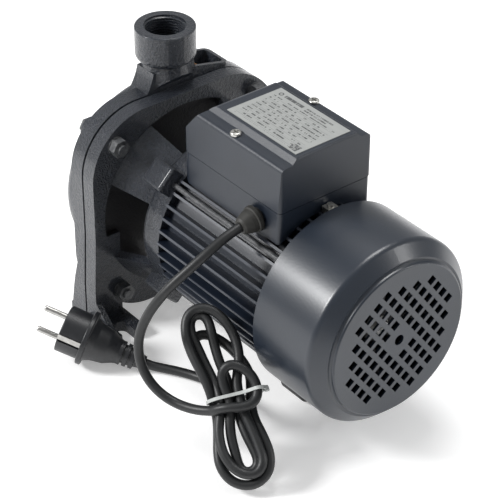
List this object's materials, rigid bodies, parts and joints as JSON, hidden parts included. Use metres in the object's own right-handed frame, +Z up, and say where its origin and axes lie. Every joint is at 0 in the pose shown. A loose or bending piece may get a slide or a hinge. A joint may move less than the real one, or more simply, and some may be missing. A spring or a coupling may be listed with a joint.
{
  "type": "centrifugal water pump",
  "caption": "Close-coupled centrifugal water pump: cast volute casing with threaded ports, open lantern bracket on feet, finned motor with terminal box and fan cover, and a tied-up mains cord.",
  "frame": {"origin": "on the floor under the middle of the pump's bounding box", "axes": "+Z up; +X from the suction port along the motor shaft to the fan cover; the cord is on the -Y side"},
  "size_m": [0.326, 0.2415, 0.232],
  "materials": {
    "cast_paint": "sand-cast iron under satin dark anthracite paint",
    "motor_paint": "satin dark anthracite paint on aluminium",
    "cover_paint": "smooth satin dark paint on pressed steel",
    "box_plastic": "fine satin moulded plastic",
    "steel": "zinc plated steel",
    "painted_hardware": "steel fasteners painted over with the casing",
    "shaft_steel": "ground stainless steel",
    "lamination": "stacked electrical steel sheet",
    "cast_aluminium": "cast aluminium",
    "winding": "varnished copper wire",
    "brass": "machined brass",
    "seal_rubber": "black rubber",
    "gasket": "black fibre and rubber sheet",
    "ceramic": "ground ceramic",
    "fan_plastic": "black moulded plastic",
    "gland_rubber": "olive grey rubber",
    "cord_rubber": "dark rubber with a soft sheen",
    "plug_rubber": "dark moulded rubber",
    "plated": "nickel plated brass",
    "nylon": "white nylon",
    "plate": null,
    "capacitor_white": "white moulded plastic",
    "terminal_plastic": "cream moulded plastic"
  },
  "bodies": {
    "pump": {"pump_casing": "cast_paint", "casing_gasket": "gasket", "priming_plug": "brass", "drain_plug": "brass", "casing_bolts": "painted_hardware", "casing_nuts": "painted_hardware", "casing_washers": "painted_hardware", "motor_bracket": "cast_paint", "seal_seat": "ceramic", "motor_housing": "motor_paint", "stator_core": "lamination", "windings": "winding", "rear_end_shield": "motor_paint", "tie_rods": "painted_hardware", "fan_cover": "cover_paint", "rubber_foot": "seal_rubber", "front_bearing_outer": "shaft_steel", "rear_bearing_outer": "shaft_steel", "wave_washer": "steel", "terminal_box_base": "box_plastic", "terminal_box_lid": "box_plastic", "box_gasket": "seal_rubber", "lid_screws": "steel", "nameplate": "plate", "terminal_block": "terminal_plastic", "terminal_screws": "brass", "capacitor": "capacitor_white", "capacitor_clip": "steel", "earth_tab": "steel", "cable_gland": "gland_rubber", "cord_lead": "cord_rubber", "cord_hank": "cord_rubber", "cord_tail": "cord_rubber", "cable_tie": "nylon", "plug_body": "plug_rubber", "plug_pins": "plated", "plug_earth": "plated"},
    "rotor": {"rotor_shaft": "shaft_steel", "front_bearing_inner": "shaft_steel", "front_bearing_balls": "shaft_steel", "rear_bearing_inner": "shaft_steel", "rear_bearing_balls": "shaft_steel", "impeller": "brass", "impeller_key": "steel", "impeller_nut": "steel", "impeller_washer": "steel", "seal_head": "seal_rubber", "slinger": "seal_rubber", "rotor_core": "lamination", "rotor_cage": "cast_aluminium", "cooling_fan": "fan_plastic", "fan_circlip": "steel"}
  },
  "joints": [
    {"name": "rotor_spin", "type": "hinge", "parent": "pump", "child": "rotor", "pos_m": [0, 0, 0.096], "axis": [1, 0, 0], "continuous": true}
  ]
}
